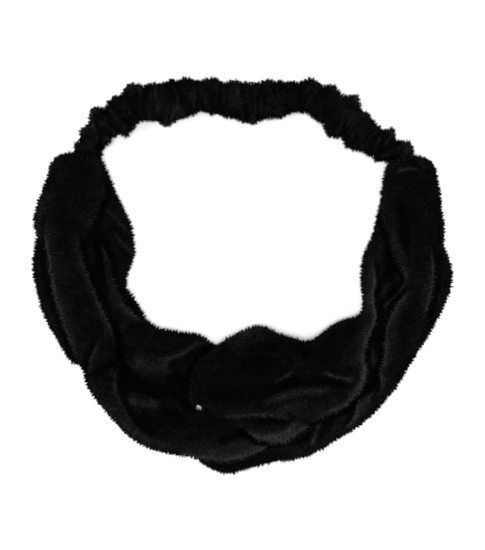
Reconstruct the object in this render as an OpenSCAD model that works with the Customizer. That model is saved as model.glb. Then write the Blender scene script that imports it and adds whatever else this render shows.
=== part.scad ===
// Twisted velvet headband, lying flat and relaxed.
// Two padded velvet strips hook round each other at the front, like two links of a chain.
// At the back a gathered velvet sleeve holds a flat elastic and joins the strips' ends.
// +X runs to the wearer's one side, +Y to the back of the head and +Z up from the table.
// The origin lies under the middle of the whole outline, on the table.

/* [Overall] */
// Width of the relaxed ring, over the velvet
ring_w = 211; // [190:1:230]

/* [Knot] */
// Height of one folded strip where two of them cross
layer_h = 12; // [9:0.5:14]
// Space left between two crossing strips
layer_gap = 1; // [0.8:0.1:2]
// How far the right half swings out when the elastic is stretched
swing = 20; // [5:1:20]

/* [Strips] */
// Height of the strips beside the knot
side_h = 16; // [14:0.5:20]

/* [Back sleeve] */
// Height of the gathered sleeve
sleeve_h = 13; // [10:0.5:14]
// Height of the sleeve's sewn-in ends
tongue_h = 8; // [6:0.5:9]
// Half the width of the sewn-in ends
tongue_half_w = 6; // [5.5:0.25:6.5]
// Length of each sewn-in end
tongue_l = 8; // [6:0.5:10]

/* [Elastic] */
// Width of the flat elastic
elastic_w = 9; // [6:0.5:9]
// Thickness of the flat elastic
elastic_t = 1.2; // [0.8:0.1:1.5]

/* [Stitching] */
// Thickness of the sewing thread
thread_d = 0.5; // [0.3:0.05:0.7]
// Length of one stitch
stitch_l = 2; // [1.5:0.25:2.25]

/* [Hidden] */
$fn = 24;

velvet = "#171717";
webbing = "#262626";
thread = "#0c0c0c";

// The plan outlines below belong to a ring of this width and are scaled from it.
drawn_w = 211;
plan_k = ring_w / drawn_w;
curve_steps = 4;

// Knot: the two strips turn about this point.
knot = [2, -68];
knot_half_w = 34;
lap = 10;
high_z = layer_h + layer_gap;
knot_top = high_z + layer_h;
neck_half_w = 4;
neck_from = 12;
neck_to = 24;
notch_to = 29.5;
clearance = 1.2;
slit_half_w = 1;
far = 130;

// Clear space round a sewn-in end, and round the elastic in its sleeve.
pocket_gap = 0.5;
hollow_gap = 0.6;
tack_h = 1.2;
tongue_z = (side_h - tongue_h) / 2;
elastic_z = side_h / 2;

// Plan outline of the strip hooked in from the left, clockwise from its shoulder.
left_outline = [
    [-70, 60], [-66, 46], [-59, 32], [-54, 18], [-54, 6], [-58, -3], [-53, -14], [-47, -24],
    [-34, -28], [-18, -30], [2, -36], [20, -39], [28, -50], [30, -66], [29, -82], [20, -92],
    [-6, -100], [-26, -93], [-46, -87], [-62, -74], [-77, -56], [-93, -30], [-103, -10], [-105, 8],
    [-103, 32], [-98, 50], [-95, 59], [-83, 62]
];

// Plan outline of the strip hooked in from the right, from its shoulder round the head side.
right_outline = [
    [71, 56], [70, 42], [65, 24], [60, 8], [60, -8], [61, -19], [50, -22], [38, -30],
    [24, -31], [8, -26], [-6, -31], [-19, -44], [-24, -58], [-23, -76], [-15, -89], [4, -94],
    [28, -92], [48, -82], [66, -70], [82, -47], [96, -26], [105.3, -8], [105, 6], [100, 26],
    [98, 44], [95, 57], [83, 59]
];

// Middle line of the sleeve, from the left shoulder round the back to the right one.
// Each point is x, y and half the sleeve's width there.
sleeve_line = [
    [-79, 62.5, 6.5], [-75, 72, 7], [-67, 80, 8.5], [-56, 86, 9], [-41, 88, 9], [-21, 90.5, 9.8],
    [-1, 88, 9], [19, 88, 9], [34, 89, 9], [46, 83, 8.5], [55, 76, 8.5], [62, 70, 8],
    [71, 65, 7], [77, 60, 6.5]
];

// Middle lines of the seams on the underside of the two strips, and how high they are sunk.
left_seam_line = [[-80, 50], [-82, 20], [-79, -5], [-68, -32], [-52, -55], [-38, -66]];
right_seam_line = [[83, 48], [82, 20], [82, -5], [74, -32], [58, -54], [42, -65]];
seam_z = 0.4;

// Directions in which the sewn-in ends point from the sleeve into the strips.
left_end_dir = [-0.39, -0.92];
right_end_dir = [0.77, -0.64];

function curve_point(a, b, c, d, t) =
    0.5 * (2 * b + (c - a) * t + (2 * a - 5 * b + 4 * c - d) * t * t
        + (3 * b - a - 3 * c + d) * t * t * t);

function smooth_ring(points) =
    let (n = len(points))
    [for (i = [0:n - 1]) for (k = [0:curve_steps - 1])
        curve_point(points[(i + n - 1) % n], points[i], points[(i + 1) % n],
            points[(i + 2) % n], k / curve_steps)];

function smooth_line(points) =
    let (last = len(points) - 1)
    [for (i = [0:last - 1]) for (k = [0:curve_steps - 1 + (i == last - 1 ? 1 : 0)])
        curve_point(points[max(i - 1, 0)], points[i], points[i + 1],
            points[min(i + 2, last)], k / curve_steps)];

function flat(p) = [p.x, p.y];

// Unit vector to the left of a line at its point i.
function left_of(line, i) =
    let (ahead = flat(line[min(i + 1, len(line) - 1)] - line[max(i - 1, 0)]))
    [-ahead.y, ahead.x] / norm(ahead);

// The two long sides of a flat band: half_w is fixed, or 0 takes the line's own half width.
function band_outline(line, half_w) =
    let (last = len(line) - 1)
    concat(
        [for (i = [0:last]) flat(line[i]) + left_of(line, i) * (half_w > 0 ? half_w : line[i][2])],
        [for (i = [last:-1:0]) flat(line[i]) - left_of(line, i) * (half_w > 0 ? half_w : line[i][2])]
    );

smooth_sleeve = smooth_line(sleeve_line);
sleeve_start = flat(sleeve_line[0]);
sleeve_finish = flat(sleeve_line[len(sleeve_line) - 1]);

module slab(from_z, to_z) {
    translate([0, 0, from_z]) linear_extrude(to_z - from_z) scale(plan_k) children();
}

module strip_plan(outline) {
    polygon(smooth_ring(outline));
}

// A rectangle in the knot's own frame: x counts away from the strip's own half (side = 1 or -1).
module knot_rect(side, from_x, to_x, from_y, to_y) {
    translate(knot) scale([side, 1]) translate([from_x, from_y]) square([to_x - from_x, to_y - from_y]);
}

// The space that the other strip's neck needs as it swings.
module neck_notch(side) {
    rise = tan(swing) * notch_to;
    head = neck_half_w + clearance;
    translate(knot) scale([side, 1])
        polygon([[0, -head], [-notch_to, -head], [-notch_to, rise + head], [0, head]]);
}

// One strip, folded in a U. side = 1 is the strip that comes in from -X and goes in at +X.
// Its upper limb crosses low and its lower limb high, or the other way round for side = -1.
module folded_strip(outline, side, upper_z, lower_z) {
    slab(0, side_h) intersection() {
        strip_plan(outline);
        knot_rect(side, -far, -knot_half_w, -far, far + 30);
    }
    slab(upper_z, upper_z + layer_h) difference() {
        intersection() {
            strip_plan(outline);
            knot_rect(side, -knot_half_w - lap, far, slit_half_w, far);
        }
        neck_notch(side);
    }
    slab(lower_z, lower_z + layer_h) difference() {
        intersection() {
            strip_plan(outline);
            knot_rect(side, -knot_half_w - lap, far, -far, -slit_half_w);
        }
        neck_notch(side);
    }
    slab(0, knot_top) knot_rect(side, neck_from, neck_to, -neck_half_w, neck_half_w);
}

// A straight tongue that starts at a shoulder and runs into a strip.
module tongue(start, dir, length, half_w, from_z, to_z) {
    slab(from_z, to_z) translate(start) rotate(atan2(dir.y, dir.x))
        translate([-2, -half_w]) square([length + 2, 2 * half_w]);
}

module pocket(start, dir) {
    tongue(start, dir, tongue_l + pocket_gap, tongue_half_w + pocket_gap,
        tongue_z - pocket_gap, tongue_z + tongue_h + pocket_gap);
}

module sleeve_band(half_w, from_z, to_z) {
    slab(from_z, to_z) polygon(band_outline(smooth_sleeve, half_w));
}

// Clears a strip's shoulder from the sleeve's own outline.
module shoulder_cut() {
    slab(-1, side_h + 1)
        polygon(band_outline([for (p = smooth_sleeve) [p.x, p.y, p[2] + pocket_gap]], 0));
}

// The elastic, or with more on each side the hollow that it lies in.
module elastic_shape(more) {
    half_w = elastic_w / 2 + more;
    from_z = elastic_z - more;
    to_z = elastic_z + elastic_t + more + (more > 0 ? tack_h : 0);
    length = tongue_l - 1 + more;
    sleeve_band(half_w, from_z, to_z);
    tongue(sleeve_start, left_end_dir, length, half_w, from_z, to_z);
    tongue(sleeve_finish, right_end_dir, length, half_w, from_z, to_z);
}

// A thread lying along dir, with its middle at the origin.
module stitch(dir, length) {
    rotate([0, 90, atan2(dir.y, dir.x)]) cylinder(h = length, d = thread_d, center = true);
}

// Stitches one after another along a line, all at one height.
module stitch_row(line, z) {
    for (i = [1:len(line) - 2]) {
        along = flat(line[i + 1] - line[i - 1]);
        translate([line[i].x * plan_k, line[i].y * plan_k, z]) stitch(along, stitch_l);
    }
}

// Stitches that close a strip's mouth on a sewn-in end: a row above it and a row below it.
module join_stitches(start, dir) {
    depth = 3;
    pitch = 2.5;
    rows_out = 0.1;
    for (z = [tongue_z - pocket_gap - rows_out, tongue_z + tongue_h + pocket_gap + rows_out])
        for (k = [-2:2]) {
            at = (start + dir * depth + [-dir.y, dir.x] * pitch * k) * plan_k;
            translate([at.x, at.y, z]) stitch(dir, stitch_l);
        }
}

// A close zigzag across the elastic's end, lying on it.
module tack(start, dir) {
    depth = 2;
    threads = 4;
    width = elastic_w - 2;
    for (k = [0:threads - 1]) {
        at = (start + dir * (depth + k * thread_d * 1.4)) * plan_k;
        translate([at.x, at.y, elastic_z + elastic_t + tack_h / 2]) stitch([-dir.y, dir.x], width);
    }
}

module left_strip() {
    color(velvet) difference() {
        folded_strip(left_outline, 1, 0, high_z);
        shoulder_cut();
        pocket(sleeve_start, left_end_dir);
    }
}

module right_strip() {
    color(velvet) difference() {
        folded_strip(right_outline, -1, high_z, 0);
        shoulder_cut();
        pocket(sleeve_finish, right_end_dir);
    }
}

module elastic_sleeve() {
    tongue_top = tongue_z + tongue_h;
    color(velvet) difference() {
        union() {
            sleeve_band(0, 0, sleeve_h);
            tongue(sleeve_start, left_end_dir, tongue_l, tongue_half_w, tongue_z, tongue_top);
            tongue(sleeve_finish, right_end_dir, tongue_l, tongue_half_w, tongue_z, tongue_top);
        }
        elastic_shape(hollow_gap);
    }
}

module elastic_band() {
    color(webbing) elastic_shape(0);
}

module left_strip_seam() {
    color(thread) stitch_row(smooth_line(left_seam_line), seam_z);
}

module right_strip_seam() {
    color(thread) stitch_row(smooth_line(right_seam_line), seam_z);
}

module sleeve_seam() {
    color(thread) stitch_row(smooth_sleeve, seam_z);
}

module left_join_seam() {
    color(thread) join_stitches(sleeve_start, left_end_dir);
}

module right_join_seam() {
    color(thread) join_stitches(sleeve_finish, right_end_dir);
}

module left_elastic_tack() {
    color(thread) tack(sleeve_start, left_end_dir);
}

module right_elastic_tack() {
    color(thread) tack(sleeve_finish, right_end_dir);
}

left_strip();
right_strip();
elastic_sleeve();
elastic_band();
left_strip_seam();
right_strip_seam();
sleeve_seam();
left_join_seam();
right_join_seam();
left_elastic_tack();
right_elastic_tack();
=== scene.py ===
import math

import bpy
import numpy as np
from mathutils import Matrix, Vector
from mathutils.bvhtree import BVHTree


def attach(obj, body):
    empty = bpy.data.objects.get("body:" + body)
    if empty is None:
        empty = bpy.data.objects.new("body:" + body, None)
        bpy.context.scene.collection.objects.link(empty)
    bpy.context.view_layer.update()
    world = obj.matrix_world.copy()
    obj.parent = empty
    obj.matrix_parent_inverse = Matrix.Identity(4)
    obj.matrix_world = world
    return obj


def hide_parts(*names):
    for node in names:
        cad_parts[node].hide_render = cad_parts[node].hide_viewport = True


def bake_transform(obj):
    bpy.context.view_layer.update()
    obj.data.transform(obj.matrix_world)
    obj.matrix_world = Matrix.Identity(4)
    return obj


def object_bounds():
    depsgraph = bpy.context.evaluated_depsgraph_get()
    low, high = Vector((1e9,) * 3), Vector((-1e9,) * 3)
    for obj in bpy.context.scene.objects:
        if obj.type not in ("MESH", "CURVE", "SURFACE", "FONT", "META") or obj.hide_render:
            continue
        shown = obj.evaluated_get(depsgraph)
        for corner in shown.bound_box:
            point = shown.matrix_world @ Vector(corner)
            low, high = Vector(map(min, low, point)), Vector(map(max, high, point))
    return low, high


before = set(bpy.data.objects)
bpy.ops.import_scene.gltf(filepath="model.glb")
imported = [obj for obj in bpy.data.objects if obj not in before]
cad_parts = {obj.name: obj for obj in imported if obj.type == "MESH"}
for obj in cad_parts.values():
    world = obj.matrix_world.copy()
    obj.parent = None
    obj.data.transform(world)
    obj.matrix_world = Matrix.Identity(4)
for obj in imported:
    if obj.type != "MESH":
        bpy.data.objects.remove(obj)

cad_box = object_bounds()
scene = bpy.context.scene
mm = 0.001

# --- Camera, table and light ---
# The headband lies on a plain white table and is seen from straight above, through a
# long lens, in even light from a large overhead lamp and two side lamps.
view_height = 0.275
camera_distance = 1.4
middle = (cad_box[0] + cad_box[1]) / 2
camera_data = bpy.data.cameras.new("camera")
camera_data.sensor_width = 36
camera_data.lens = 36 * camera_distance / view_height
camera_data.clip_start = 0.01
camera = bpy.data.objects.new("camera", camera_data)
camera.location = (middle.x, middle.y, cad_box[1].z + camera_distance)
scene.collection.objects.link(camera)
scene.camera = camera

bpy.ops.object.select_all(action="DESELECT")
bpy.ops.mesh.primitive_plane_add(size=6, location=(0, 0, 0))
table = bpy.context.active_object
table.name = "table"
table_mat = bpy.data.materials.new("table_white")
table_mat.use_nodes = True
table_mat.node_tree.nodes["Principled BSDF"].inputs["Base Color"].default_value = (0.92, 0.92, 0.92, 1)
table_mat.node_tree.nodes["Principled BSDF"].inputs["Roughness"].default_value = 0.9
table.data.materials.append(table_mat)


def add_lamp(name, place, size, watts):
    lamp = bpy.data.lights.new(name, "AREA")
    lamp.shape = "SQUARE"
    lamp.size = size
    lamp.energy = watts
    o = bpy.data.objects.new(name, lamp)
    o.location = place
    aim = Vector((0, 0, 0)) - Vector(place)
    o.rotation_euler = aim.to_track_quat("-Z", "Y").to_euler()
    scene.collection.objects.link(o)


overhead = bpy.data.lights.new("lamp_overhead", "SUN")
overhead.energy = 2.2
overhead.angle = math.radians(12)
overhead_lamp = bpy.data.objects.new("lamp_overhead", overhead)
overhead_lamp.rotation_euler = (math.radians(2), math.radians(-2), 0)
scene.collection.objects.link(overhead_lamp)
add_lamp("lamp_left", (-1.3, -0.2, 0.9), 0.7, 7)
add_lamp("lamp_right", (1.2, 0.6, 0.8), 0.7, 7)
world = bpy.data.worlds.new("room")
world.use_nodes = True
world.node_tree.nodes["Background"].inputs["Color"].default_value = (1, 1, 1, 1)
world.node_tree.nodes["Background"].inputs["Strength"].default_value = 0.5
scene.world = world
scene.view_settings.view_transform = "Standard"


# --- Velvet ---
# Black pile fabric: short cut pile on a knitted back. It is nearly black face on and goes grey
# where the pile is seen from the side. Along the folds, where the pile opens, a painted highlight
# is put into its colour, and painted shade into the hollows between them.
def make_pile_group():
    group = bpy.data.node_groups.new("pile_shading", "ShaderNodeTree")
    face = group.interface
    ridge_in = face.new_socket("Ridge", in_out="INPUT", socket_type="NodeSocketFloat")
    ridge_in.default_value = 0.5
    for name, value in (("Dark", 0.001), ("Light", 0.02), ("Streak Size", 900.0)):
        face.new_socket(name, in_out="INPUT", socket_type="NodeSocketFloat").default_value = value
    face.new_socket("Color", in_out="OUTPUT", socket_type="NodeSocketColor")
    face.new_socket("Height", in_out="OUTPUT", socket_type="NodeSocketFloat")
    nodes, links = group.nodes, group.links
    given = nodes.new("NodeGroupInput")
    out = nodes.new("NodeGroupOutput")
    coords = nodes.new("ShaderNodeTexCoord")
    grain = nodes.new("ShaderNodeTexNoise")
    grain.inputs["Detail"].default_value = 3
    links.new(coords.outputs["Object"], grain.inputs["Vector"])
    links.new(given.outputs["Streak Size"], grain.inputs["Scale"])
    clouds = nodes.new("ShaderNodeTexNoise")
    clouds.inputs["Scale"].default_value = 90
    clouds.inputs["Detail"].default_value = 3
    links.new(coords.outputs["Object"], clouds.inputs["Vector"])

    def maths(operation, a, b, clamp=False):
        node = nodes.new("ShaderNodeMath")
        node.operation = operation
        node.use_clamp = clamp
        for socket, value in zip(node.inputs, (a, b)):
            if isinstance(value, (int, float)):
                socket.default_value = value
            else:
                links.new(value, socket)
        return node.outputs[0]

    spots = maths("MULTIPLY", maths("SUBTRACT", grain.outputs["Fac"], 0.35), 2.2, True)
    cloudy = maths("MULTIPLY", maths("SUBTRACT", clouds.outputs["Fac"], 0.3), 2.2, True)
    # the Ridge input is painted fold light: painted highlight on folds, painted shade in hollows; the
    # clouds add an uneven tone
    ridge = maths("MULTIPLY", given.outputs["Ridge"], given.outputs["Ridge"])
    lit = maths("ADD", maths("MULTIPLY", ridge, 1.85), maths("MULTIPLY", cloudy, 0.11))
    grained = maths("ADD", maths("MULTIPLY", spots, 1.1), 0.25)
    fold_light_and_grain = maths("MULTIPLY", lit, grained, True)
    span = maths("SUBTRACT", given.outputs["Light"], given.outputs["Dark"])
    value = maths("ADD", given.outputs["Dark"], maths("MULTIPLY", span, fold_light_and_grain))
    grey = nodes.new("ShaderNodeCombineColor")
    for socket in grey.inputs:
        links.new(value, socket)
    links.new(grey.outputs["Color"], out.inputs["Color"])
    links.new(grain.outputs["Fac"], out.inputs["Height"])
    return group


pile_group = make_pile_group()


def make_velvet(name, dark, light, streak_size, sheen, bump):
    mat = bpy.data.materials.new(name)
    mat.use_nodes = True
    nodes, links = mat.node_tree.nodes, mat.node_tree.links
    shader = nodes["Principled BSDF"]
    shader.inputs["Roughness"].default_value = 0.85
    shader.inputs["Specular IOR Level"].default_value = 0.01
    shader.inputs["Sheen Weight"].default_value = sheen
    shader.inputs["Sheen Roughness"].default_value = 0.35
    shader.inputs["Sheen Tint"].default_value = (0.8, 0.8, 0.82, 1)
    pile = nodes.new("ShaderNodeGroup")
    pile.node_tree = pile_group
    pile.inputs["Dark"].default_value = dark
    pile.inputs["Light"].default_value = light
    pile.inputs["Streak Size"].default_value = streak_size
    # the ridge attribute puts the painted fold highlights and painted shade into the base colour
    ridge = nodes.new("ShaderNodeAttribute")
    ridge.attribute_name = "ridge"
    links.new(ridge.outputs["Fac"], pile.inputs["Ridge"])
    bumps = nodes.new("ShaderNodeBump")
    bumps.inputs["Strength"].default_value = bump
    bumps.inputs["Distance"].default_value = 0.0006
    links.new(pile.outputs["Height"], bumps.inputs["Height"])
    links.new(pile.outputs["Color"], shader.inputs["Base Color"])
    links.new(bumps.outputs["Normal"], shader.inputs["Normal"])
    return mat


velvet = make_velvet("black_velvet", 0.0004, 0.028, 1100, 0.003, 0.6)
tuft_velvet = make_velvet("black_velvet_pile", 0.0004, 0.045, 1500, 0.003, 0.0)


def select_only(o):
    bpy.ops.object.select_all(action="DESELECT")
    o.select_set(True)
    bpy.context.view_layer.objects.active = o


def add_mesh(name, points, faces):
    mesh = bpy.data.meshes.new(name)
    mesh.from_pydata(points.tolist(), [], faces)
    mesh.update()
    o = bpy.data.objects.new(name, mesh)
    scene.collection.objects.link(o)
    return o


def turn_outward(o):
    select_only(o)
    bpy.ops.object.mode_set(mode="EDIT")
    bpy.ops.mesh.select_all(action="SELECT")
    bpy.ops.mesh.normals_make_consistent(inside=False)
    bpy.ops.object.mode_set(mode="OBJECT")


def apply_modifier(o, kind, **settings):
    select_only(o)
    modifier = o.modifiers.new(kind.lower(), kind)
    for key, value in settings.items():
        setattr(modifier, key, value)
    bpy.ops.object.modifier_apply(modifier=modifier.name)


def through(rows, step):
    """Smooth rows through given rows, about step apart on the plan."""
    rows = np.array(rows, float)
    padded_rows = np.vstack([2 * rows[0] - rows[1], rows, 2 * rows[-1] - rows[-2]])
    out = []
    for a, b, c, d in zip(padded_rows, padded_rows[1:], padded_rows[2:], padded_rows[3:]):
        length = np.linalg.norm((c - b)[:2])
        if len(b) > 3:
            length = max(length, np.linalg.norm((c - b)[2:4]))
        n = max(2, int(math.ceil(length / step)))
        for t in np.arange(n) / n:
            out.append(0.5 * (2 * b + (c - a) * t + (2 * a - 5 * b + 4 * c - d) * t * t
                              + (3 * b - a - 3 * c + d) * t ** 3))
    out.append(rows[-1])
    return np.array(out)


ring_points = 28


def fold_mesh(rows):
    """One flattened roll of cloth: each row is its two edges on the plan and its height range."""
    rows = through(rows, 1.6)
    n = len(rows)
    cap = 4
    angles = np.arange(ring_points) * 2 * math.pi / ring_points
    squarish = 0.72
    across = np.sign(np.cos(angles)) * np.abs(np.cos(angles)) ** squarish
    upwards = np.sign(np.sin(angles)) * np.abs(np.sin(angles)) ** squarish
    points = []
    for i, (xl, yl, xr, yr, z_low, z_high) in enumerate(rows):
        near_end = min(i, n - 1 - i)
        taper = math.sqrt(max(1 - (1 - min(near_end + 0.6, cap) / cap) ** 2, 0.02))
        mid = np.array([(xl + xr) / 2, (yl + yr) / 2, (z_low + z_high) / 2])
        half = np.array([(xr - xl) / 2, (yr - yl) / 2, 0]) * taper
        high = np.array([0, 0, (z_high - z_low) / 2]) * taper
        points.append(mid + np.outer(across, half) + np.outer(upwards, high))
    points = np.concatenate(points)
    faces = []
    for i in range(n - 1):
        for k in range(ring_points):
            after = (k + 1) % ring_points
            faces.append((i * ring_points + k, i * ring_points + after,
                          (i + 1) * ring_points + after, (i + 1) * ring_points + k))
    faces.append(tuple(range(ring_points - 1, -1, -1)))
    faces.append(tuple(range((n - 1) * ring_points, n * ring_points)))
    return points * mm, faces


def cloth_piece(name, folds, voxel):
    """All the rolls of one piece of cloth, grown into one skin."""
    points, faces, count = [], [], 0
    for rows in folds:
        p, f = fold_mesh(rows)
        points.append(p)
        faces += [tuple(k + count for k in face) for face in f]
        count += len(p)
    o = add_mesh(name, np.concatenate(points), faces)
    turn_outward(o)
    apply_modifier(o, "REMESH", mode="VOXEL", voxel_size=voxel * mm, adaptivity=0)
    apply_modifier(o, "SMOOTH", factor=0.5, iterations=2)
    return o


def read_points(o):
    flat = np.empty(len(o.data.vertices) * 3)
    o.data.vertices.foreach_get("co", flat)
    return flat.reshape(-1, 3)


def read_normals(o):
    flat = np.empty(len(o.data.vertices) * 3)
    o.data.vertices.foreach_get("normal", flat)
    return flat.reshape(-1, 3)


def write_points(o, points):
    o.data.vertices.foreach_set("co", points.ravel())
    o.data.update()


def settle(o, pressure, growth, most):
    """Let the stuffed cloth find its own shape, moving no point by more than most."""
    before = read_points(o)
    select_only(o)
    cloth = o.modifiers.new("cloth", "CLOTH")
    cloth.settings.quality = 4
    cloth.settings.mass = 0.3
    cloth.settings.use_pressure = True
    cloth.settings.uniform_pressure_force = pressure
    cloth.settings.shrink_min = -growth
    cloth.settings.bending_stiffness = 0.02
    cloth.settings.effector_weights.gravity = 0
    cloth.collision_settings.use_collision = False
    cloth.collision_settings.use_self_collision = False
    cloth_frames = 20
    for step in range(1, cloth_frames + 1):
        scene.frame_set(step)
    bpy.ops.object.modifier_apply(modifier=cloth.name)
    scene.frame_set(1)
    moved = read_points(o) - before
    far = np.linalg.norm(moved, axis=1, keepdims=True)
    write_points(o, before + moved * np.minimum(1, most * mm / np.maximum(far, 1e-9)))


def from_line(points, line):
    """Signed distance (left of the line is positive) and share of the way along it."""
    line = through(line, 2.0)
    a, b = line[:-1], line[1:]
    along = b - a
    lengths = np.linalg.norm(along, axis=1)
    starts = np.concatenate([[0], np.cumsum(lengths)])
    best = np.full(len(points), 1e9)
    signed = np.full(len(points), 1e9)
    share = np.zeros(len(points))
    for p, d, length, start in zip(a, along, lengths, starts):
        w = points - p
        t = np.clip(w @ d / length ** 2, 0, 1)
        off = w - t[:, None] * d
        dist = np.linalg.norm(off, axis=1)
        side = np.sign(d[0] * w[:, 1] - d[1] * w[:, 0])
        near = dist < best
        best[near] = dist[near]
        signed[near] = (dist * side)[near]
        share[near] = ((start + t * length) / starts[-1])[near]
    return signed, share


def end_taper(share):
    return np.clip(np.minimum(share, 1 - share) * 5 + 0.08, 0, 1) ** 0.7


def crease(o, laps, ridges, dents):
    """Folds in the top face. Laps: (line, rise, drop, glow), with the upper layer to the line's
    left. Ridges: (line, rise, half width, glow). Dents: (line, depth, half width). Returns
    painted light for the colour; glow is how much painted highlight a lap or ridge gets."""
    points = read_points(o)
    up = np.clip(read_normals(o)[:, 2] * 2.5 + 0.25, 0, 1)
    plan = points[:, :2] / mm
    lift = np.zeros(len(points))
    painted_light = np.zeros(len(points))
    for line, rise, drop, glow in laps:
        s, share = from_line(plan, line)
        ends = end_taper(share)
        step = 0.5 * (1 + np.tanh(s / 0.6))
        high = np.exp(-(np.maximum(s, 0) / 4.0) ** 2)
        low = np.exp(-(np.maximum(-s, 0) / 2.4) ** 2)
        lift += ends * (rise * high * step - drop * low * (1 - step))
        # a painted highlight along the lap's edge, and a painted glow over its upper side
        painted_light += ends * np.exp(-((s - 0.5) / 0.7) ** 2) * (0.3 + glow)
        painted_light += ends * glow * step * np.exp(-(np.maximum(s, 0) / 4.2) ** 1.5)
        # painted shade just under the lap's edge
        painted_light -= ends * np.exp(-((s + 1.6) / 1.4) ** 2) * 0.3
    for line, rise, wide, glow in ridges:
        s, share = from_line(plan, line)
        ends = end_taper(share)
        lift += ends * rise * np.exp(-(s / wide) ** 2)
        # a painted highlight along the ridge
        painted_light += ends * glow * np.exp(-(s / wide) ** 2)
    for line, deep, wide in dents:
        s, share = from_line(plan, line)
        ends = end_taper(share)
        lift -= ends * deep * np.exp(-(s / wide) ** 2)
        # painted shade along the dent
        painted_light -= ends * np.exp(-(s / wide) ** 2) * 0.35
    points[:, 2] += lift * up * mm
    points[:, 2] = np.maximum(points[:, 2], 0.5 * mm)
    write_points(o, points)
    # the painted light is kept to cloth that faces up
    return painted_light * up


def paint_light_patches(o, patches):
    """Painted highlights where the pile catches the light, and painted shade where how much is
    below zero, on cloth that faces up; each (x, y, radius along x, radius along y, how much)."""
    x, y = read_points(o)[:, :2].T / mm
    total = np.zeros(len(x))
    for cx, cy, rx, ry, amount in patches:
        total += amount * np.exp(-((x - cx) / rx) ** 2 - ((y - cy) / ry) ** 2)
    return total * np.clip(read_normals(o)[:, 2] * 2, 0, 1)


def seam_groove(o, line):
    """The underside drawn in along its seam."""
    points = read_points(o)
    s, _ = from_line(points[:, :2] / mm, line)
    down = np.clip(-read_normals(o)[:, 2] * 2, 0, 1)
    points[:, 2] += down * 0.9 * mm * np.exp(-(s / 1.2) ** 2)
    write_points(o, points)


def open_hole(o, x, y, room):
    """Draws the cloth in round the small gap right through the knot, and keeps the gap open."""
    points = read_points(o)
    away = points[:, :2] - np.array([x, y]) * mm
    r = np.maximum(np.linalg.norm(away, axis=1), 1e-6)
    drawn_in = r - 1.5 * mm * np.exp(-((r - 3 * mm) / (2 * mm)) ** 2)
    wanted = np.maximum(drawn_in, room * mm + 0.35 * r)
    points[:, :2] += away * ((wanted - r) / r)[:, None]
    write_points(o, points)


def ripples(o, seed, high, long, narrow, along):
    """Faint uneven ripples in the cloth, longer along the strip than across it."""
    rng = np.random.default_rng(seed)
    points = read_points(o)
    x, y, z = (points / mm).T
    way = along(x, y)
    u = x * np.cos(way) + y * np.sin(way)
    v = -x * np.sin(way) + y * np.cos(way)
    wave = np.zeros(len(points))
    waves = 14
    for _ in range(waves):
        a, b, c = rng.normal(0, 1, 3)
        phase = rng.uniform(0, 6.28)
        wave += np.sin(u / long * a * 2 + v / narrow * b * 2 + z / narrow * c + phase) / waves ** 0.5
    write_points(o, points + read_normals(o) * (wave * high * mm)[:, None])


def smoothed(o, values, times):
    """Averages values over each point's neighbours, times over."""
    edges = np.empty(len(o.data.edges) * 2, int)
    o.data.edges.foreach_get("vertices", edges)
    edges = edges.reshape(-1, 2)
    count = np.bincount(edges.ravel(), minlength=len(values))[:, None] + 1
    values = values.reshape(len(values), -1)
    for _ in range(times):
        total = values.copy()
        for k in range(values.shape[1]):
            total[:, k] += np.bincount(edges[:, 0], values[edges[:, 1], k], len(values))
            total[:, k] += np.bincount(edges[:, 1], values[edges[:, 0], k], len(values))
        values = total / count
    return values


def paint_fold_light(o, painted_light, times):
    """How far each point stands proud of the cloth round it, kept as painted light: a painted highlight on
    folds and painted shade in hollows, with the given painted light added.
    """
    points = read_points(o)
    proud = ((points - smoothed(o, points, times)) * read_normals(o)).sum(1) / mm
    value = np.clip(0.16 + proud * 0.34 + painted_light * 0.5, 0, 1)
    ridge = o.data.attributes.new("ridge", "FLOAT", "POINT")
    ridge.data.foreach_set("value", value)


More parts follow.
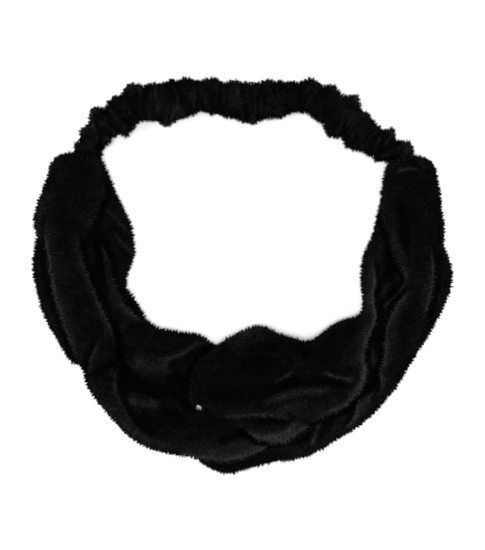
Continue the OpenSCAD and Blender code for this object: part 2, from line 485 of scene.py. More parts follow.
def pile_on(base, name, per_mm2, long, wide, clump, seed, bald=None):
    """Tufts of pile standing all over a piece: three corners each, sunk a little at the root.
    Their tips lean together in clumps."""
    rng = np.random.default_rng(seed)
    mesh = base.data
    mesh.calc_loop_triangles()
    tris = np.empty(len(mesh.loop_triangles) * 3, int)
    mesh.loop_triangles.foreach_get("vertices", tris)
    tris = tris.reshape(-1, 3)
    points, normals = read_points(base), read_normals(base)
    ridge = np.empty(len(points))
    mesh.attributes["ridge"].data.foreach_get("value", ridge)
    a, b, c = (points[tris[:, k]] for k in range(3))
    areas = np.linalg.norm(np.cross(b - a, c - a), axis=1) / 2 / mm ** 2
    n = int(areas.sum() * per_mm2)
    pick = rng.choice(len(tris), n, p=areas / areas.sum())
    u, v = rng.random((2, n))
    flip = u + v > 1
    u[flip], v[flip] = 1 - u[flip], 1 - v[flip]
    w = np.stack([1 - u - v, u, v], 1)[:, :, None]
    root = (points[tris[pick]] * w).sum(1)
    normal = (normals[tris[pick]] * w).sum(1)
    # each tuft takes on the painted fold light of the cloth under it
    value = (ridge[tris[pick]] * w[:, :, 0]).sum(1)
    if bald is not None:
        keep = ~bald(root / mm)
        root, normal, value = root[keep], normal[keep], value[keep]
        n = len(root)
    normal /= np.linalg.norm(normal, axis=1, keepdims=True)
    cell = np.floor(root / (clump * mm)).astype(int)
    keys, cell_of = np.unique(cell, axis=0, return_inverse=True)
    cell_of = cell_of.ravel()
    heart = np.stack([np.bincount(cell_of, root[:, k]) for k in range(3)], 1)
    heart /= np.bincount(cell_of)[:, None]
    heart += rng.normal(0, 0.25 * clump * mm, heart.shape)
    pull = (heart[cell_of] - root) / (long * mm)
    way = normal + pull + rng.normal(0, 0.13, (n, 3))
    way -= normal * np.minimum((way * normal).sum(1, keepdims=True) - 0.25, 0)
    way /= np.linalg.norm(way, axis=1, keepdims=True)
    side = np.cross(way, rng.normal(0, 1, (n, 3)))
    side /= np.linalg.norm(side, axis=1, keepdims=True)
    clump_long = rng.uniform(0.55, 1.15, len(keys))[cell_of]
    length = (rng.uniform(0.7, 1, n) * clump_long)[:, None] * long * mm
    half = rng.uniform(0.6, 1, n)[:, None] * wide / 2 * mm
    root = root - normal * 0.25 * mm
    tip = root + way * length
    tip[:, 2] = np.maximum(tip[:, 2], 0.2 * mm)
    corners = np.stack([root - side * half, root + side * half, tip], 1).reshape(-1, 3)
    o = add_mesh(name, corners, np.arange(3 * n).reshape(-1, 3).tolist())
    attribute = o.data.attributes.new("ridge", "FLOAT", "POINT")
    value = value * rng.uniform(0.3, 1.6, n)
    # painted shade at the roots, deep in the pile, and a painted highlight on the tips
    value = np.repeat(value, 3) + np.tile([-0.25, -0.25, 0.1], n)
    attribute.data.foreach_set("value", np.clip(value, 0, 1))
    o.data.materials.append(tuft_velvet)
    return o


# --- Left strip ---
# A velvet tube, pressed flat and folded in a U round the right strip. Its two limbs lie
# folded over each other down the left side. Each fold below is two edges and a height range.
left_folds = [
    # lowest layer, showing along the outside
    [(-103, 26, -86, 26, 2, 9), (-105, 12, -84, 14, 1, 9), (-105, -1, -82, 4, 0.6, 9),
     (-102, -13, -80, -6, 0.6, 9), (-98.5, -23, -76, -14, 0.6, 9), (-93.5, -32, -72, -22, 0.6, 9.5),
     (-88, -41, -68, -30, 0.6, 10), (-83, -47, -66, -36, 1, 10)],
    # top layer from the shoulder
    [(-94, 60, -74, 61, 2, 12), (-96.5, 54, -70.5, 56, 1.5, 14), (-98.5, 46, -69, 47, 1.5, 15),
     (-102.8, 34, -70, 38, 2, 16), (-104, 24, -73, 29, 3, 16.5), (-101, 15, -77.5, 20, 4, 16.5),
     (-98.6, 6, -80, 11, 4, 16), (-96, -6, -76, 0, 4, 16), (-92, -18, -72, -9, 4, 16.5),
     (-88, -29, -67.5, -19, 4, 17), (-84.5, -39, -63.5, -29, 4, 17), (-80.5, -46, -62, -38, 4, 16),
     (-76, -52, -63, -46, 3, 14)],
    # fold between the top layer and the inner one
    [(-85, 22, -76, 26, 3, 10), (-83, 14, -70, 18, 3, 12), (-80, 4, -66, 10, 3, 12.5),
     (-77, -4, -65, 0, 3, 13), (-74, -12, -62.5, -7, 3, 13), (-70, -21, -58, -13, 3, 13.5),
     (-66, -31, -51, -19, 3, 13.5), (-60, -38, -46, -23, 3, 12)],
    # inner lobe
    [(-80, 54, -70, 55, 2, 10), (-79, 44, -66, 46, 1, 10.5), (-77, 33, -61, 35, 0.8, 10.5),
     (-74, 22, -55.2, 22, 0.8, 10), (-72, 10, -53.5, 10, 0.8, 10), (-71, 2, -57, 1, 0.8, 10),
     (-70, -8, -57.5, -6, 0.8, 10), (-66, -18, -52, -13.5, 0.8, 10.5), (-62, -28, -48, -22, 0.8, 11),
     (-56, -38, -43, -26, 0.8, 11)],
    # upper limb, which goes under the right strip
    [(-66, -33, -57, -16, 2, 12), (-60, -45, -48, -23, 2, 14), (-53, -52, -41, -26.5, 2, 15),
     (-44, -56, -31, -28.5, 2, 15), (-34, -58, -22, -29.5, 1.5, 14), (-24, -60, -15, -34, 1, 13),
     (-12, -60, -6, -38, 0.8, 12), (2, -62, 4, -40, 0.8, 11.5), (16, -66, 18, -42, 0.8, 11.5),
     (26, -66, 27, -50, 0.8, 11)],
    # slack cloth between the two limbs
    [(-66, -56, -58, -38, 1, 11), (-56, -64, -50, -46, 1, 11), (-44, -69, -40, -50, 1, 11),
     (-34, -71, -31, -53, 1, 11), (-25, -71, -24.8, -56, 1, 11)],
    # lower limb, its upper roll
    [(-70, -48, -60, -40, 2, 12), (-66, -58, -58, -50, 2, 13), (-60, -67, -54, -58, 2, 14),
     (-50, -71, -45, -61, 3, 15), (-38, -72, -35, -60.5, 4, 16), (-27, -76, -26, -68.5, 6, 18),
     (-16, -78, -14, -69, 11, 20), (-4, -82, -2, -70, 12, 20)],
    # lower limb, its main roll along the front
    [(-79, -47, -67, -37, 2, 13), (-77, -56, -62, -46, 1.5, 15), (-68.5, -67.5, -55, -56, 1.5, 16),
     (-58, -79.2, -48, -64, 1.5, 17), (-45.5, -86.8, -38, -68, 2, 19), (-29, -90.5, -26, -70, 6, 21),
     (-14, -93, -13, -71, 11, 22.5), (-4, -93, -3, -71, 12, 23), (5, -91, 5, -71, 12, 22.5),
     (13, -88, 11, -71, 12, 21), (20, -84, 18, -70, 11, 19)],
    # its inner part, which sinks under the right strip's edge
    [(-17, -75, -16, -68.5, 10, 17), (-6, -75, -6, -68, 8, 14), (6, -75, 6, -67, 6, 12.5),
     (18, -76, 18, -66, 4, 12.5), (28, -76, 29, -66, 4, 12.5)],
    # end of the lower limb, turning up beside the right strip's limb
    [(4, -79, 5, -73, 14, 22), (13, -84, 15, -73, 12, 23), (20, -85, 22, -73, 11, 22.5),
     (27, -81, 26, -72, 10, 21), (33, -77, 29, -70, 9, 19)],
    # turned-up neck between the limbs, inside the right strip
    [(15, -80, 30, -79, 12, 19), (15, -74, 31, -74, 7, 15), (15, -68, 31, -68, 2, 12.3),
     (15, -60, 30, -58, 1, 12)],
]
# the last number of each lap and each ridge is how much painted highlight it gets
left_laps = [
    # upper layer to the left of each line, as it runs
    ([(-99, 25), (-99, 16), (-97, 5), (-95, -9), (-91, -21), (-87, -33), (-83, -43)], 0.5, 1.0, 0.45),
    ([(-63, -37), (-64, -30), (-68, -21), (-72, -12), (-76, -2), (-80, 9), (-82, 19)], 0.9, 1.1, 0.3),
    ([(-52, -77), (-58, -67), (-62, -59), (-62, -50), (-62, -38)], 0.7, 1.0, 0.02),
    ([(-49, -23), (-53, -20), (-59, -14), (-63, -6), (-65, 0), (-67, 9), (-71, 17)], 1.0, 1.2, 0.25),
    ([(-77, 23), (-74, 27), (-72, 33), (-69, 40), (-69, 47)], 0.8, 1.2, 0.1),
    ([(-78, -50), (-76, -41), (-73, -34)][::-1], 0.7, 0.8, 0.15),
    ([(-32, -89), (-26, -91), (-10, -93), (-1, -92), (8, -89), (13, -86), (17, -84)], 0.2, 0.5, 0.75),
    ([(0, -77), (6, -81), (11, -83), (17, -84), (21, -84), (26, -81), (33, -77), (37, -74)],
     1.0, 1.8, 0.6),
]
left_ridges = [
    ([(-42, -43), (-31, -40), (-23, -35), (-15, -34)], 1.2, 1.8, 0.25),
    ([(-56, -43), (-46, -45), (-34, -46)], 1.5, 5, 0.3),
    ([(-58, -62), (-50, -64), (-40, -66)], 1.2, 3, 0.3),
    ([(-69, 34), (-63, 28), (-57, 22)], 0.5, 1.2, 0.3),
    ([(-65, 22), (-59, 15), (-54, 10)], 0.5, 1.2, 0.3),
    ([(11, -81), (21, -79), (26, -75), (29, -72)], 0.8, 1.8, 0.5),
    ([(-71, -62), (-64, -70), (-57, -77), (-46, -84), (-32, -88)], 0.6, 3.5, 0.35),
    ([(-100, 44), (-103, 30), (-104, 14)], 0.3, 2.5, 0.3),
]
left_dents = [
    ([(-73, 20), (-72, 10), (-71, 2), (-69, -12)], 1.4, 2.2),
    ([(-60, -46), (-59, -54), (-57, -60)], 2.0, 3),
    ([(-52, -70), (-47, -74), (-41, -78)], 2.0, 4),
    ([(-57, -12), (-52, -17)], 1.0, 3),
    ([(-38, -55), (-31, -52), (-28, -58)], 1.0, 3),
    ([(-14, -36), (-20, -41), (-25, -49), (-27, -60)], 1.6, 2.2),
    ([(-12, -84), (-3, -80), (4, -78)], 0.8, 2),
]
# painted light patches: painted highlights where the pile catches the light, painted shade where how much
# is below zero
left_painted_light = [
    (-92, -12, 6, 26, 0.16), (-76, -66, 10, 12, 0.28), (-60, -80, 14, 8, 0.32), (-44, -44, 13, 6, 0.16),
    (-50, -64, 9, 4, 0.2), (-5, -87, 26, 5, 0.35), (-98, 30, 5, 22, 0.2), (20, -80, 12, 4, 0.3),
    (-60, -24, 8, 10, 0.12), (-42, -75, 14, 6, -0.15)
]
left_seam = [(-80, 50), (-82, 20), (-79, -5), (-68, -32), (-52, -55), (-38, -66)]
left_strip = cloth_piece("left_strip_velvet", left_folds, 1.5)

# --- Right strip ---
# The same tube from the other side. Its upper limb crosses over the left strip, turns down
# at the middle and comes back under it.
right_folds = [
    # upper limb across the knot, down to the inner side of the right half
    [(-25, -63.2, -24, -50, 8, 19), (-20.5, -65, -20, -43, 9, 22), (-13, -69.5, -13, -36.5, 12, 25),
     (0, -71.5, -6, -31.5, 12.5, 26), (10, -70.5, 2, -27.5, 12.5, 26.5), (19, -71, 9, -25.5, 12.5, 26.5),
     (27, -72, 17, -28.5, 12.5, 26), (35, -72.5, 25, -31.5, 12, 25.5), (44, -69, 34, -32, 11, 24),
     (52, -65, 41, -28.5, 9, 22), (60, -57, 49, -23, 6, 20), (64, -46, 60, -20, 3.5, 17.5),
     (65.5, -33, 61, -17, 2.5, 15), (69, -20, 61, -11, 2, 13), (71, -8, 60, -4, 1.5, 12),
     (73, 3, 60.5, 4, 1, 11.5), (76, 12, 62, 11, 1, 11), (79, 20, 65, 18, 1, 11),
     (81, 30, 68, 28, 1, 11), (83, 38, 71, 36, 1, 11), (84, 46, 74, 44, 2, 10)],
    # top layer from the right shoulder, down the outside
    [(92.5, 58.8, 77, 57.5, 2, 12), (97, 54.5, 74, 54, 1.5, 14), (99, 45, 72, 43.5, 1.5, 15.5),
     (100.5, 32, 72, 33, 2, 16.5), (102, 20, 74, 22, 3, 17), (98.5, 10, 77.5, 9, 4, 17),
     (97.5, 0, 81.5, 1, 4, 16.5), (96.5, -9, 81, -5, 4, 16.5), (94.5, -18, 77, -13, 4, 16.5),
     (92.5, -27.5, 73.5, -21, 4, 16.5), (89, -36.5, 72, -30, 4, 16.5), (83, -47.5, 70.5, -40, 4, 16),
     (78, -56.5, 69, -48, 3.5, 15.5), (69, -67, 62, -58, 3, 15), (59, -76, 54, -64, 2, 14),
     (49, -82.5, 43, -68, 1.5, 13), (38.5, -89.3, 33, -72, 1, 12.5), (29, -93, 25, -73, 0.8, 12),
     (18, -94, 17, -74, 0.7, 11.5), (6, -97, 6, -76, 0.6, 11), (-6, -100.3, -4, -76, 0.6, 10.5),
     (-16, -97, -12, -74, 0.6, 10.5), (-24, -91, -18, -72, 0.8, 10)],
    # ridge that runs from the inner edge of the top layer into the upper limb
    [(88, 6, 79, 6, 6, 15), (85, -2, 76.5, 0, 6, 15.5), (80, -8, 71, -4, 5, 15),
     (76, -14, 67.5, -9, 4, 14.5), (73, -24, 64, -18, 4, 15), (69.5, -36, 60, -32, 5, 17),
     (67, -48, 56, -42, 6, 18.5), (62, -58, 50, -50, 8, 20)],
    # slack cloth low down between the two limbs
    [(86, 34, 72, 32, 1, 9), (86, 20, 68, 20, 1, 9), (86, 8, 66, 8, 1, 8.5), (86, -6, 66, -4, 1, 9),
     (82, -18, 65, -14, 1, 9.5), (80, -30, 64, -28, 1, 10), (76, -44, 60, -40, 1, 10.5),
     (70, -56, 54, -52, 1, 11), (60, -66, 46, -60, 1, 11), (48, -75, 38, -64, 1, 13),
     (39, -80, 33.5, -67, 1.5, 13.5)],
    # lowest layer, showing along the outside
    [(99.5, 26, 86, 26, 2, 9), (103.8, 12, 84, 13, 1, 9), (106.5, 1, 84, 3, 0.6, 9),
     (105.5, -8, 82, -5, 0.6, 9), (101.5, -18.5, 80, -12, 0.6, 9), (96, -28.5, 76, -20, 0.6, 9),
     (90, -37.5, 73, -30, 0.8, 9), (81, -49, 68, -40, 1, 9)],
    # turned-down neck between the limbs, inside the left strip
    [(-18, -61, -8, -56, 9, 20), (-17, -70, -6, -66, 5, 17), (-19, -77, -6, -75, 2, 12),
     (-20, -84, -6, -84, 1, 10)],
]
# the last number of each lap and each ridge is how much painted highlight it gets
right_laps = [
    ([(37, -74), (41, -71), (45, -69), (52, -66), (57, -61), (61, -56), (63, -48), (62, -41), (63, -35),
      (65, -30), (68, -23), (68, -18), (67, -12), (68, -2), (67, 7)], 1.0, 1.6, 0.72),
    ([(71, 42), (71, 33), (72, 25), (75, 18), (77, 9), (81, 2), (82, -2), (80, -6), (76, -11),
      (69, -16)], 1.0, 1.6, 0.25),
    ([(84, -8), (79, -13), (76, -18), (73, -25), (72, -34), (71, -44), (69, -48), (70, -57),
      (67, -61)], 0.9, 1.4, 0.45),
    ([(92, -23), (95, -13), (97, -2), (97, 5), (96, 15)], 0.4, 0.9, 0.3),
    ([(60, -60), (58, -65), (56, -72), (52, -77)], 0.6, 0.9, 0.3),
    ([(-9, -72), (1, -71), (10, -70.5), (18, -71), (24, -72)], 0.3, 0.4, 0.5),
]
right_ridges = [
    ([(10, -64), (18, -61), (26, -58.5), (35, -58), (46, -57)], 1.5, 2.6, 0.3),
    ([(16, -67), (28, -66), (40, -64), (50, -60)], 1.2, 5, 0.15),
    ([(15, -56), (20, -52), (26, -48)], 0.7, 1.6, 0.3),
    ([(41, -48), (47, -51), (57, -53)], 1.0, 1.5, 0.5),
    ([(40, -73), (37, -81), (35, -87)], 1.0, 1.6, 0.45),
    ([(78, 52), (84, 54), (89, 53)], 0.6, 1.0, 0.6),
    ([(-8, -35), (-2, -30), (5, -28)], 0.5, 4, 0.35),
    ([(66, -58), (62, -66), (56, -74)], 0.5, 2, 0.3),
]
right_dents = [
    ([(70, -13), (71, -20), (70, -26), (68, -34), (68, -40)], 1.8, 1.6),
    ([(67, -46), (66, -52), (63, -60)], 2.0, 1.8),
    ([(30, -52), (43, -53), (53, -55)], 1.4, 1.8),
    ([(74, 9), (76, 2), (74, -4)], 1.6, 3.0),
    ([(79, 36), (82, 24), (83, 12)], 0.7, 2.5),
    ([(24, -82), (29, -83), (34, -80)], 1.4, 2.2),
    ([(12, -58), (22, -54), (32, -53)], 0.9, 1.8),
]
# painted light patches: painted highlights where the pile catches the light, painted shade where how much
# is below zero
right_painted_light = [
    (64, -8, 5, 22, 0.22), (60, -45, 6, 14, 0.25), (26, -61, 6, 4, 0.25), (30, -69, 8, 4, 0.3),
    (88, -10, 8, 20, 0.12), (4, -28, 8, 6, 0.2), (52, -80, 14, 8, 0.2), (30, -88, 16, 5, 0.25),
    (8, -50, 16, 10, -0.08), (40, -40, 12, 6, -0.08)
]
right_seam = [(83, 48), (82, 20), (82, -5), (74, -32), (58, -54), (42, -65)]
right_strip = cloth_piece("right_strip_velvet", right_folds, 1.5)

pile_room = 0.35
for o, laps, ridges, dents, patches, seam in (
        (left_strip, left_laps, left_ridges, left_dents, left_painted_light, left_seam),
        (right_strip, right_laps, right_ridges, right_dents, right_painted_light, right_seam)):
    settle(o, 2, 0.02, 1.5)
    apply_modifier(o, "SUBSURF", levels=1, render_levels=1)
    ripples(o, 5, 0.35, 26, 7, lambda x, y: np.arctan2(y + 10, x) + math.pi / 2)
    seam_groove(o, seam)
    # painted highlights and painted shade from the folds and from the patches
    painted_light = crease(o, laps, ridges, dents) + paint_light_patches(o, patches)
    write_points(o, read_points(o) - read_normals(o) * pile_room * mm)
    open_hole(o, -21.6, -66.5, 0.6)
    paint_fold_light(o, painted_light, 25)
    select_only(o)
    bpy.ops.object.shade_smooth()
    o.data.materials.append(velvet)
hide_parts("left_strip")
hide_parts("right_strip")


def clear_of(o, other, share):
    """Presses o's cloth back, by share of the way, from where it runs into the other strip."""
    reach, gap = 6, 0.15
    tree = BVHTree.FromPolygons([v.co for v in other.data.vertices],
                                [tuple(p.vertices) for p in other.data.polygons])
    points = read_points(o)
    for k, point in enumerate(points):
        near, normal, _, _ = tree.find_nearest(Vector(point), reach * mm)
        if near is not None and (Vector(point) - near).dot(normal) < 0:
            points[k] = point + share * (np.array(near + normal * gap * mm) - point)
    write_points(o, points)


# the two limbs press on each other in the knot, and neither runs into the other
clear_of(right_strip, left_strip, 0.5)
clear_of(left_strip, right_strip, 1.0)
clear_of(right_strip, left_strip, 1.0)


def bald_along(seam, hole):
    """Where no pile stands: along the seam on the underside, and round the gap in the knot."""
    def bald(roots):
        s, _ = from_line(roots[:, :2], seam)
        r = np.linalg.norm(roots[:, :2] - np.array(hole), axis=1)
        return ((np.abs(s) < 0.9) & (roots[:, 2] < 5)) | (r < 1.8)
    return bald


knot_gap = (-21.5, -66.5)
left_pile = pile_on(left_strip, "left_strip_pile", 4, 2.3, 0.6, 1.6, 11,
                    bald_along(left_seam, knot_gap))
right_pile = pile_on(right_strip, "right_strip_pile", 4, 2.3, 0.6, 1.6, 12,
                     bald_along(right_seam, knot_gap))
for o in (left_strip, left_pile):
    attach(o, "left_half")
for o in (right_strip, right_pile):
    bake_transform(o)

# --- Gathered sleeve ---
# A tube of the same velvet, a fifth longer than the way it covers, shirred up on the
# elastic inside it, so that it stands in close puckers with frilled edges.
sleeve_edges = [
    # outer edge and inner edge, from inside the left strip's mouth round to the right one
    (-87, 57, -75, 52), (-82.5, 66, -71.5, 60), (-77.5, 74.5, -68, 66.5), (-71.5, 82, -63.5, 71.5),
    (-65, 88, -58.5, 73), (-57, 93, -53, 77.5), (-46, 96.2, -44, 78.5), (-36, 98.5, -36, 78.5),
    (-26, 99.5, -26, 81.3), (-16, 98.5, -16, 82), (-5, 98, -5, 80), (5, 97.5, 5, 79),
    (15, 97.8, 15, 79.5), (25, 98, 25, 81.5), (34, 98, 32, 82), (43, 96, 38, 78),
    (51, 92, 43.5, 73.5), (58.5, 86.5, 49, 69.5), (64.5, 80, 55.5, 65.5), (71, 74.5, 61.5, 62),
    (78, 69.5, 68, 59.5), (85, 63, 74.5, 57), (90, 55, 80, 49)
]
sleeve_low, sleeve_high = 1.2, 12.0
around = 76
sleeve_bumps = [
    # places on the edges where the cloth stands out in a frill (or is drawn in): x, y, how far, width
    (-81, 71, 1.6, 3), (-78, 78, -1.6, 2), (-73, 83, 1.6, 3), (-69, 86.5, -1.8, 2), (-65, 90, 2.6, 3),
    (-61, 90, -1.5, 2), (-57, 93, 1.6, 3), (-27, 101, 2.4, 3), (-22, 99, -1.2, 2), (-17, 100, 1.8, 2.5),
    (-9, 98, -1.2, 3), (35, 100, 2.4, 3), (41, 97, -1.5, 2), (46, 96, 1.8, 3), (52, 92, -1, 2),
    (57, 90, 2, 3), (62, 84, -1.8, 2), (65, 81, 1.6, 2.5), (72, 76, -2.2, 3), (76, 72, 1.8, 2.2),
    (81, 70, -1.6, 1.6), (84, 66, 1.6, 2.5),
    (-68, 66, -1.8, 2), (-65, 68, 1.6, 2), (-62, 71, -1.6, 1.6), (-58, 72, 1.8, 3), (-52, 76, -1.6, 3),
    (-38, 76, 1.6, 5), (-20, 80, -1.4, 4), (0, 77, 1.2, 8), (28, 80, -1.6, 3), (33, 80, -2.4, 2),
    (37, 75, 2.4, 3), (41, 76, -2.2, 1.8), (45, 71, 1.7, 3), (49, 69, -1.4, 1.6), (53, 65, 1.8, 3.5),
    (60, 62, -1.5, 3), (66, 59, -1.8, 2), (71, 56, 1.0, 3)
]
# painted light patches: painted highlights where the pile catches the light, painted shade where how much
# is below zero
sleeve_painted_light = [
    (-43, 86, 3, 7, 0.5), (-33, 83, 5, 4, 0.6), (-24, 92, 5, 5, 0.2), (-3, 89, 6, 6, 0.4),
    (-76, 74, 6, 6, 0.3), (12, 84, 8, 2, 0.2), (52, 84, 4, 8, 0.25), (60, 76, 4, 6, 0.25),
    (84, 64, 4, 4, 0.35), (-12, 86, 4, 8, -0.1), (-50, 84, 5, 6, -0.1)
]


def make_sleeve():
    edges = through(sleeve_edges, 1.0)
    mids = (edges[:, :2] + edges[:, 2:]) / 2
    spans = np.linalg.norm(np.diff(mids, axis=0), axis=1)
    reach = np.concatenate([[0], np.cumsum(spans)])
    rings = int(reach[-1] / 0.62)
    s = np.linspace(0, reach[-1], rings)
    outer = np.stack([np.interp(s, reach, edges[:, k]) for k in (0, 1)], 1)
    inner = np.stack([np.interp(s, reach, edges[:, k]) for k in (2, 3)], 1)
    mid, half = (outer + inner) / 2, (outer - inner) / 2
    width = np.linalg.norm(half, axis=1)
    out_way = half / width[:, None]
    rng = np.random.default_rng(21)
    angle = np.arange(around) * 2 * math.pi / around
    s_grid, a_grid = np.meshgrid(s, angle, indexing="ij")
    puff = np.zeros_like(s_grid)
    # the ends are crushed up hardest, the middle least
    crush = np.interp(s, [0, 20, 70, 95, 150, 175, reach[-1]],
                      [1, 1.25, 0.7, 0.55, 0.6, 1.3, 1.1])[:, None]
    # lumps, a few millimetres long, all over
    for _ in range(150):
        at, heart = rng.uniform(2, reach[-1] - 2), rng.uniform(0, 2 * math.pi)
        wide, spread = rng.uniform(1.5, 4.2), rng.uniform(0.3, 0.75)
        turn = np.angle(np.exp(1j * (a_grid - heart)))
        line = s_grid - at - rng.normal(0, 1.5) * turn
        puff += crush * rng.uniform(-2.0, 2.5) * np.exp(-(turn / spread) ** 2 - (line / wide) ** 2)
    # frills along both edges
    for edge in (0, math.pi):
        at = 3.0
        while at < reach[-1] - 3:
            wide = rng.uniform(1.6, 3.4)
            turn = np.angle(np.exp(1j * (a_grid - edge - rng.normal(0, 0.25))))
            puff += crush * rng.uniform(0.3, 2.9) * np.exp(-(turn / 0.6) ** 2 - ((s_grid - at) / wide) ** 2)
            at += rng.uniform(3.5, 8)
    # sharp puckers, each over part of the way round and on the slant
    at = 1.5
    while at < reach[-1] - 1.5:
        heart = rng.uniform(0, 2 * math.pi)
        spread = rng.uniform(0.4, 1.1)
        turn = np.angle(np.exp(1j * (a_grid - heart)))
        line = s_grid - at - rng.normal(0, 2.5) * turn
        wide = rng.uniform(0.6, 1.1)
        puff += crush * rng.uniform(0.4, 1.3) * np.exp(-(turn / spread) ** 2) * (
            np.exp(-(line / wide) ** 2) - 0.8 * np.exp(-((line - 1.9 * wide) / wide) ** 2))
        at += rng.uniform(0.6, 1.6)
    ease = np.clip(np.minimum(s_grid, reach[-1] - s_grid) / 8, 0.25, 1)
    puff *= ease
    squarish = 0.85
    ca, sa = np.cos(a_grid), np.sin(a_grid)
    across = np.sign(ca) * np.abs(ca) ** squarish
    upwards = np.sign(sa) * np.abs(sa) ** squarish
    tall = (sleeve_high - sleeve_low) / 2
    lateral = across * (width[:, None] - 1.3) + puff * ca * 0.8
    heights = (sleeve_high + sleeve_low) / 2 + upwards * tall + puff * sa * 0.75
    points = np.empty(s_grid.shape + (3,))
    place = mid[:, None] + out_way[:, None] * lateral[..., None]
    for x, y, far, wide in sleeve_bumps:
        near = np.exp(-((place[..., 0] - x) ** 2 + (place[..., 1] - y) ** 2) / wide ** 2)
        lateral = lateral + far * 1.1 * near * np.sign(ca) * np.abs(ca) ** 0.5
    points[..., :2] = mid[:, None] + out_way[:, None] * lateral[..., None]
    points[..., 2] = np.maximum(heights, 0.7)
    index = np.arange(rings * around).reshape(rings, around)
    after = np.roll(index, -1, axis=1)
    faces = np.stack([index[:-1], index[1:], after[1:], after[:-1]], -1).reshape(-1, 4).tolist()
    o = add_mesh("elastic_sleeve_velvet", points.reshape(-1, 3) * mm, faces)
    turn_outward(o)
    return o


sleeve = make_sleeve()
apply_modifier(sleeve, "SMOOTH", factor=0.4, iterations=1)
# the sleeve's colour gets a painted highlight on its puckers and painted shade between them, with painted
# light patches
paint_fold_light(sleeve, paint_light_patches(sleeve, sleeve_painted_light) + 0.08, 15)
select_only(sleeve)
bpy.ops.object.shade_smooth()
sleeve.data.materials.append(velvet)
sleeve_line = [((a + c) / 2, (b + d) / 2) for a, b, c, d in sleeve_edges]
sleeve_pile = pile_on(sleeve, "elastic_sleeve_pile", 4.5, 2.6, 0.6, 1.6, 13,
                      bald_along(sleeve_line, (0, 0)))
for o in (sleeve, sleeve_pile):
    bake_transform(o)
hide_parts("elastic_sleeve")

# --- Elastic ---
# A flat knitted elastic, 9 mm wide, that lies slack inside the sleeve. Its ends run into the
# strips' mouths, where each is tacked down with a close zigzag.
elastic_half_w, elastic_z, elastic_t = 4.5, 8.0, 1.2


def make_elastic():
    # its two ends run on past the sleeve's, under the tacks inside the strips' mouths
    left_end = [(-80.6, 56.8), (-78, 62.8)]
    right_end = [(78.6, 60.2), (82.6, 56.3)]
    line = through(left_end + sleeve_line[2:-2] + right_end, 1.2)
    ahead = np.gradient(line, axis=0)
    ahead /= np.linalg.norm(ahead, axis=1, keepdims=True)
    left = np.stack([-ahead[:, 1], ahead[:, 0]], 1)
    offsets = np.linspace(-1, 1, 10)
    section = [(w, 1) for w in offsets] + [(w, 0) for w in offsets[::-1]]
    points, across, length = [], [], []
    reach = np.concatenate([[0], np.cumsum(np.linalg.norm(np.diff(line, axis=0), axis=1))])
    for p, side, far in zip(line, left, reach):
        # in the sleeve's narrow necks it curls across its width, keeping its own 9 mm
        curl = sum(math.exp(-((end - 10) / 6) ** 2) for end in (far, reach[-1] - far))
        for w, top in section:
            plan = p + side * w * elastic_half_w * (1 - 0.2 * curl)
            rounded = 0.18 * abs(w) ** 6
            base = elastic_z - 2.3 * curl * w * w
            points.append((plan[0], plan[1], base + (elastic_t - rounded if top else rounded)))
            across.append(w * elastic_half_w)
            length.append(far)
    n, m = len(line), len(section)
    faces = [(i * m + k, i * m + (k + 1) % m, (i + 1) * m + (k + 1) % m, (i + 1) * m + k)
             for i in range(n - 1) for k in range(m)]
    faces += [tuple(range(m - 1, -1, -1)), tuple(range((n - 1) * m, n * m))]
    o = add_mesh("elastic_band_knit", np.array(points) * mm, faces)
    for name, values in (("across", across), ("along", length)):
        o.data.attributes.new(name, "FLOAT", "POINT").data.foreach_set("value", values)
    turn_outward(o)
    return o


def knit_material():
    mat = bpy.data.materials.new("elastic_knit")
    mat.use_nodes = True
    nodes, links = mat.node_tree.nodes, mat.node_tree.links
    shader = nodes["Principled BSDF"]
    shader.inputs["Roughness"].default_value = 0.8
    shader.inputs["Specular IOR Level"].default_value = 0.2
    ribs = []
    for name, pitch in (("across", 0.9), ("along", 0.6)):
        given = nodes.new("ShaderNodeAttribute")
        given.attribute_name = name
        turn = nodes.new("ShaderNodeMath")
        turn.operation = "MULTIPLY"
        turn.inputs[1].default_value = 2 * math.pi / pitch
        wave = nodes.new("ShaderNodeMath")
        wave.operation = "SINE"
        links.new(given.outputs["Fac"], turn.inputs[0])
        links.new(turn.outputs[0], wave.inputs[0])
        ribs.append(wave.outputs[0])
    both = nodes.new("ShaderNodeMath")
    both.operation = "MULTIPLY_ADD"
    both.inputs[1].default_value = 0.5
    links.new(ribs[1], both.inputs[0])
    links.new(ribs[0], both.inputs[2])
    ramp = nodes.new("ShaderNodeMapRange")
    ramp.inputs["From Min"].default_value = -1.5
    ramp.inputs["From Max"].default_value = 1.5
    ramp.inputs["To Min"].default_value = 0.006
    ramp.inputs["To Max"].default_value = 0.03
    links.new(both.outputs[0], ramp.inputs["Value"])
    grey = nodes.new("ShaderNodeCombineColor")
    for socket in grey.inputs:
        links.new(ramp.outputs["Result"], socket)
    links.new(grey.outputs["Color"], shader.inputs["Base Color"])
    bumps = nodes.new("ShaderNodeBump")
    bumps.inputs["Strength"].default_value = 0.5
    bumps.inputs["Distance"].default_value = 0.0002
    links.new(both.outputs[0], bumps.inputs["Height"])
    links.new(bumps.outputs["Normal"], shader.inputs["Normal"])
    return mat


elastic = make_elastic()
elastic.data.materials.append(knit_material())
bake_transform(elastic)
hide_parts("elastic_band")

# --- Sewing thread ---
# Black polyester thread: a lockstitched seam along the underside of each tube, hand stitches
# that close each strip's mouth on the sleeve, and the zigzag tacks on the elastic's ends.


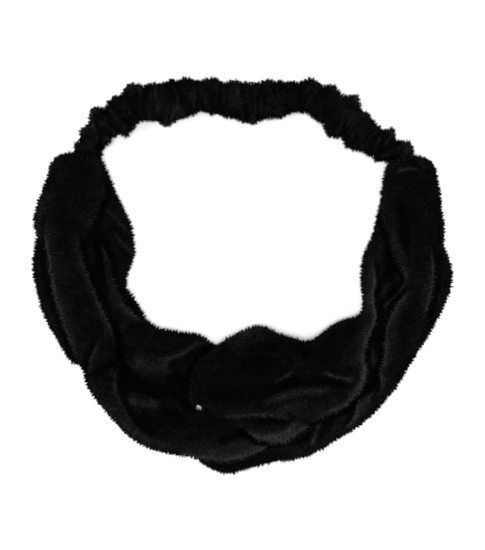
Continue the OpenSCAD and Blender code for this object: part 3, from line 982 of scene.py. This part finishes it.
def thread_material():
    mat = bpy.data.materials.new("black_thread")
    mat.use_nodes = True
    nodes, links = mat.node_tree.nodes, mat.node_tree.links
    shader = nodes["Principled BSDF"]
    shader.inputs["Roughness"].default_value = 0.7
    shader.inputs["Specular IOR Level"].default_value = 0.03
    coords = nodes.new("ShaderNodeTexCoord")
    ply = nodes.new("ShaderNodeTexWave")
    ply.bands_direction = "DIAGONAL"
    ply.inputs["Scale"].default_value = 900
    ply.inputs["Distortion"].default_value = 1.5
    links.new(coords.outputs["Object"], ply.inputs["Vector"])
    tone = nodes.new("ShaderNodeMapRange")
    tone.inputs["To Min"].default_value = 0.002
    tone.inputs["To Max"].default_value = 0.009
    links.new(ply.outputs["Fac"], tone.inputs["Value"])
    grey = nodes.new("ShaderNodeCombineColor")
    for socket in grey.inputs:
        links.new(tone.outputs["Result"], socket)
    links.new(grey.outputs["Color"], shader.inputs["Base Color"])
    bumps = nodes.new("ShaderNodeBump")
    bumps.inputs["Strength"].default_value = 0.4
    bumps.inputs["Distance"].default_value = 0.0001
    links.new(ply.outputs["Fac"], bumps.inputs["Height"])
    links.new(bumps.outputs["Normal"], shader.inputs["Normal"])
    return mat


thread = thread_material()
stitch_long, thread_d, stitch_pitch = 2.2, 0.5, 3.2
bpy.ops.object.select_all(action="DESELECT")
bpy.ops.mesh.primitive_cylinder_add(vertices=8, radius=thread_d / 2 * mm, depth=stitch_long * mm,
                                    rotation=(0, math.pi / 2, 0))
one_stitch = bpy.context.active_object
bpy.ops.object.transform_apply(location=True, rotation=True, scale=True)
apply_modifier(one_stitch, "BEVEL", width=0.14 * mm, segments=2, limit_method="ANGLE")
stitch_points = read_points(one_stitch)
stitch_faces = [tuple(p.vertices) for p in one_stitch.data.polygons]
bpy.data.objects.remove(one_stitch)


def make_seam(name, cloth, line):
    """Stitches end to end along a line, lying in the groove on the cloth's underside."""
    tree = BVHTree.FromObject(cloth, bpy.context.evaluated_depsgraph_get())
    fine = through(line, 0.5)[:, :2]
    reach = np.concatenate([[0], np.cumsum(np.linalg.norm(np.diff(fine, axis=0), axis=1))])
    points, faces = [], []
    for at in np.arange(stitch_pitch, reach[-1] - stitch_pitch, stitch_pitch):
        ends = []
        for far in (at - stitch_long / 2, at + stitch_long / 2):
            x, y = (np.interp(far, reach, fine[:, k]) * mm for k in (0, 1))
            hit = tree.ray_cast(Vector((x, y, -0.01)), Vector((0, 0, 1)))[0]
            ends.append((x, y, (hit.z if hit else 0.0008) + 0.02 * mm))
        a, b = np.array(ends)
        ahead = (b - a) / np.linalg.norm(b - a)
        side = np.cross((0, 0, 1), ahead)
        side /= np.linalg.norm(side)
        axes = np.stack([ahead, side, np.cross(ahead, side)])
        faces += [tuple(k + len(points) * len(stitch_points) for k in f) for f in stitch_faces]
        points.append(stitch_points @ axes + (a + b) / 2)
    o = add_mesh(name, np.concatenate(points), faces)
    o.data.materials.append(thread)
    select_only(o)
    bpy.ops.object.shade_smooth()
    return o


left_seam_thread = make_seam("left_strip_seam_thread", left_strip, left_seam)
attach(left_seam_thread, "left_half")
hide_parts("left_strip_seam")
right_seam_thread = make_seam("right_strip_seam_thread", right_strip, right_seam)
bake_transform(right_seam_thread)
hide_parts("right_strip_seam")
sleeve_seam_thread = make_seam("sleeve_seam_thread", sleeve, sleeve_line[1:-1])
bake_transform(sleeve_seam_thread)
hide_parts("sleeve_seam")
for node in ("left_join_seam", "right_join_seam", "left_elastic_tack", "right_elastic_tack"):
    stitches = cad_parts[node]
    stitches.data.materials.clear()
    stitches.data.materials.append(thread)
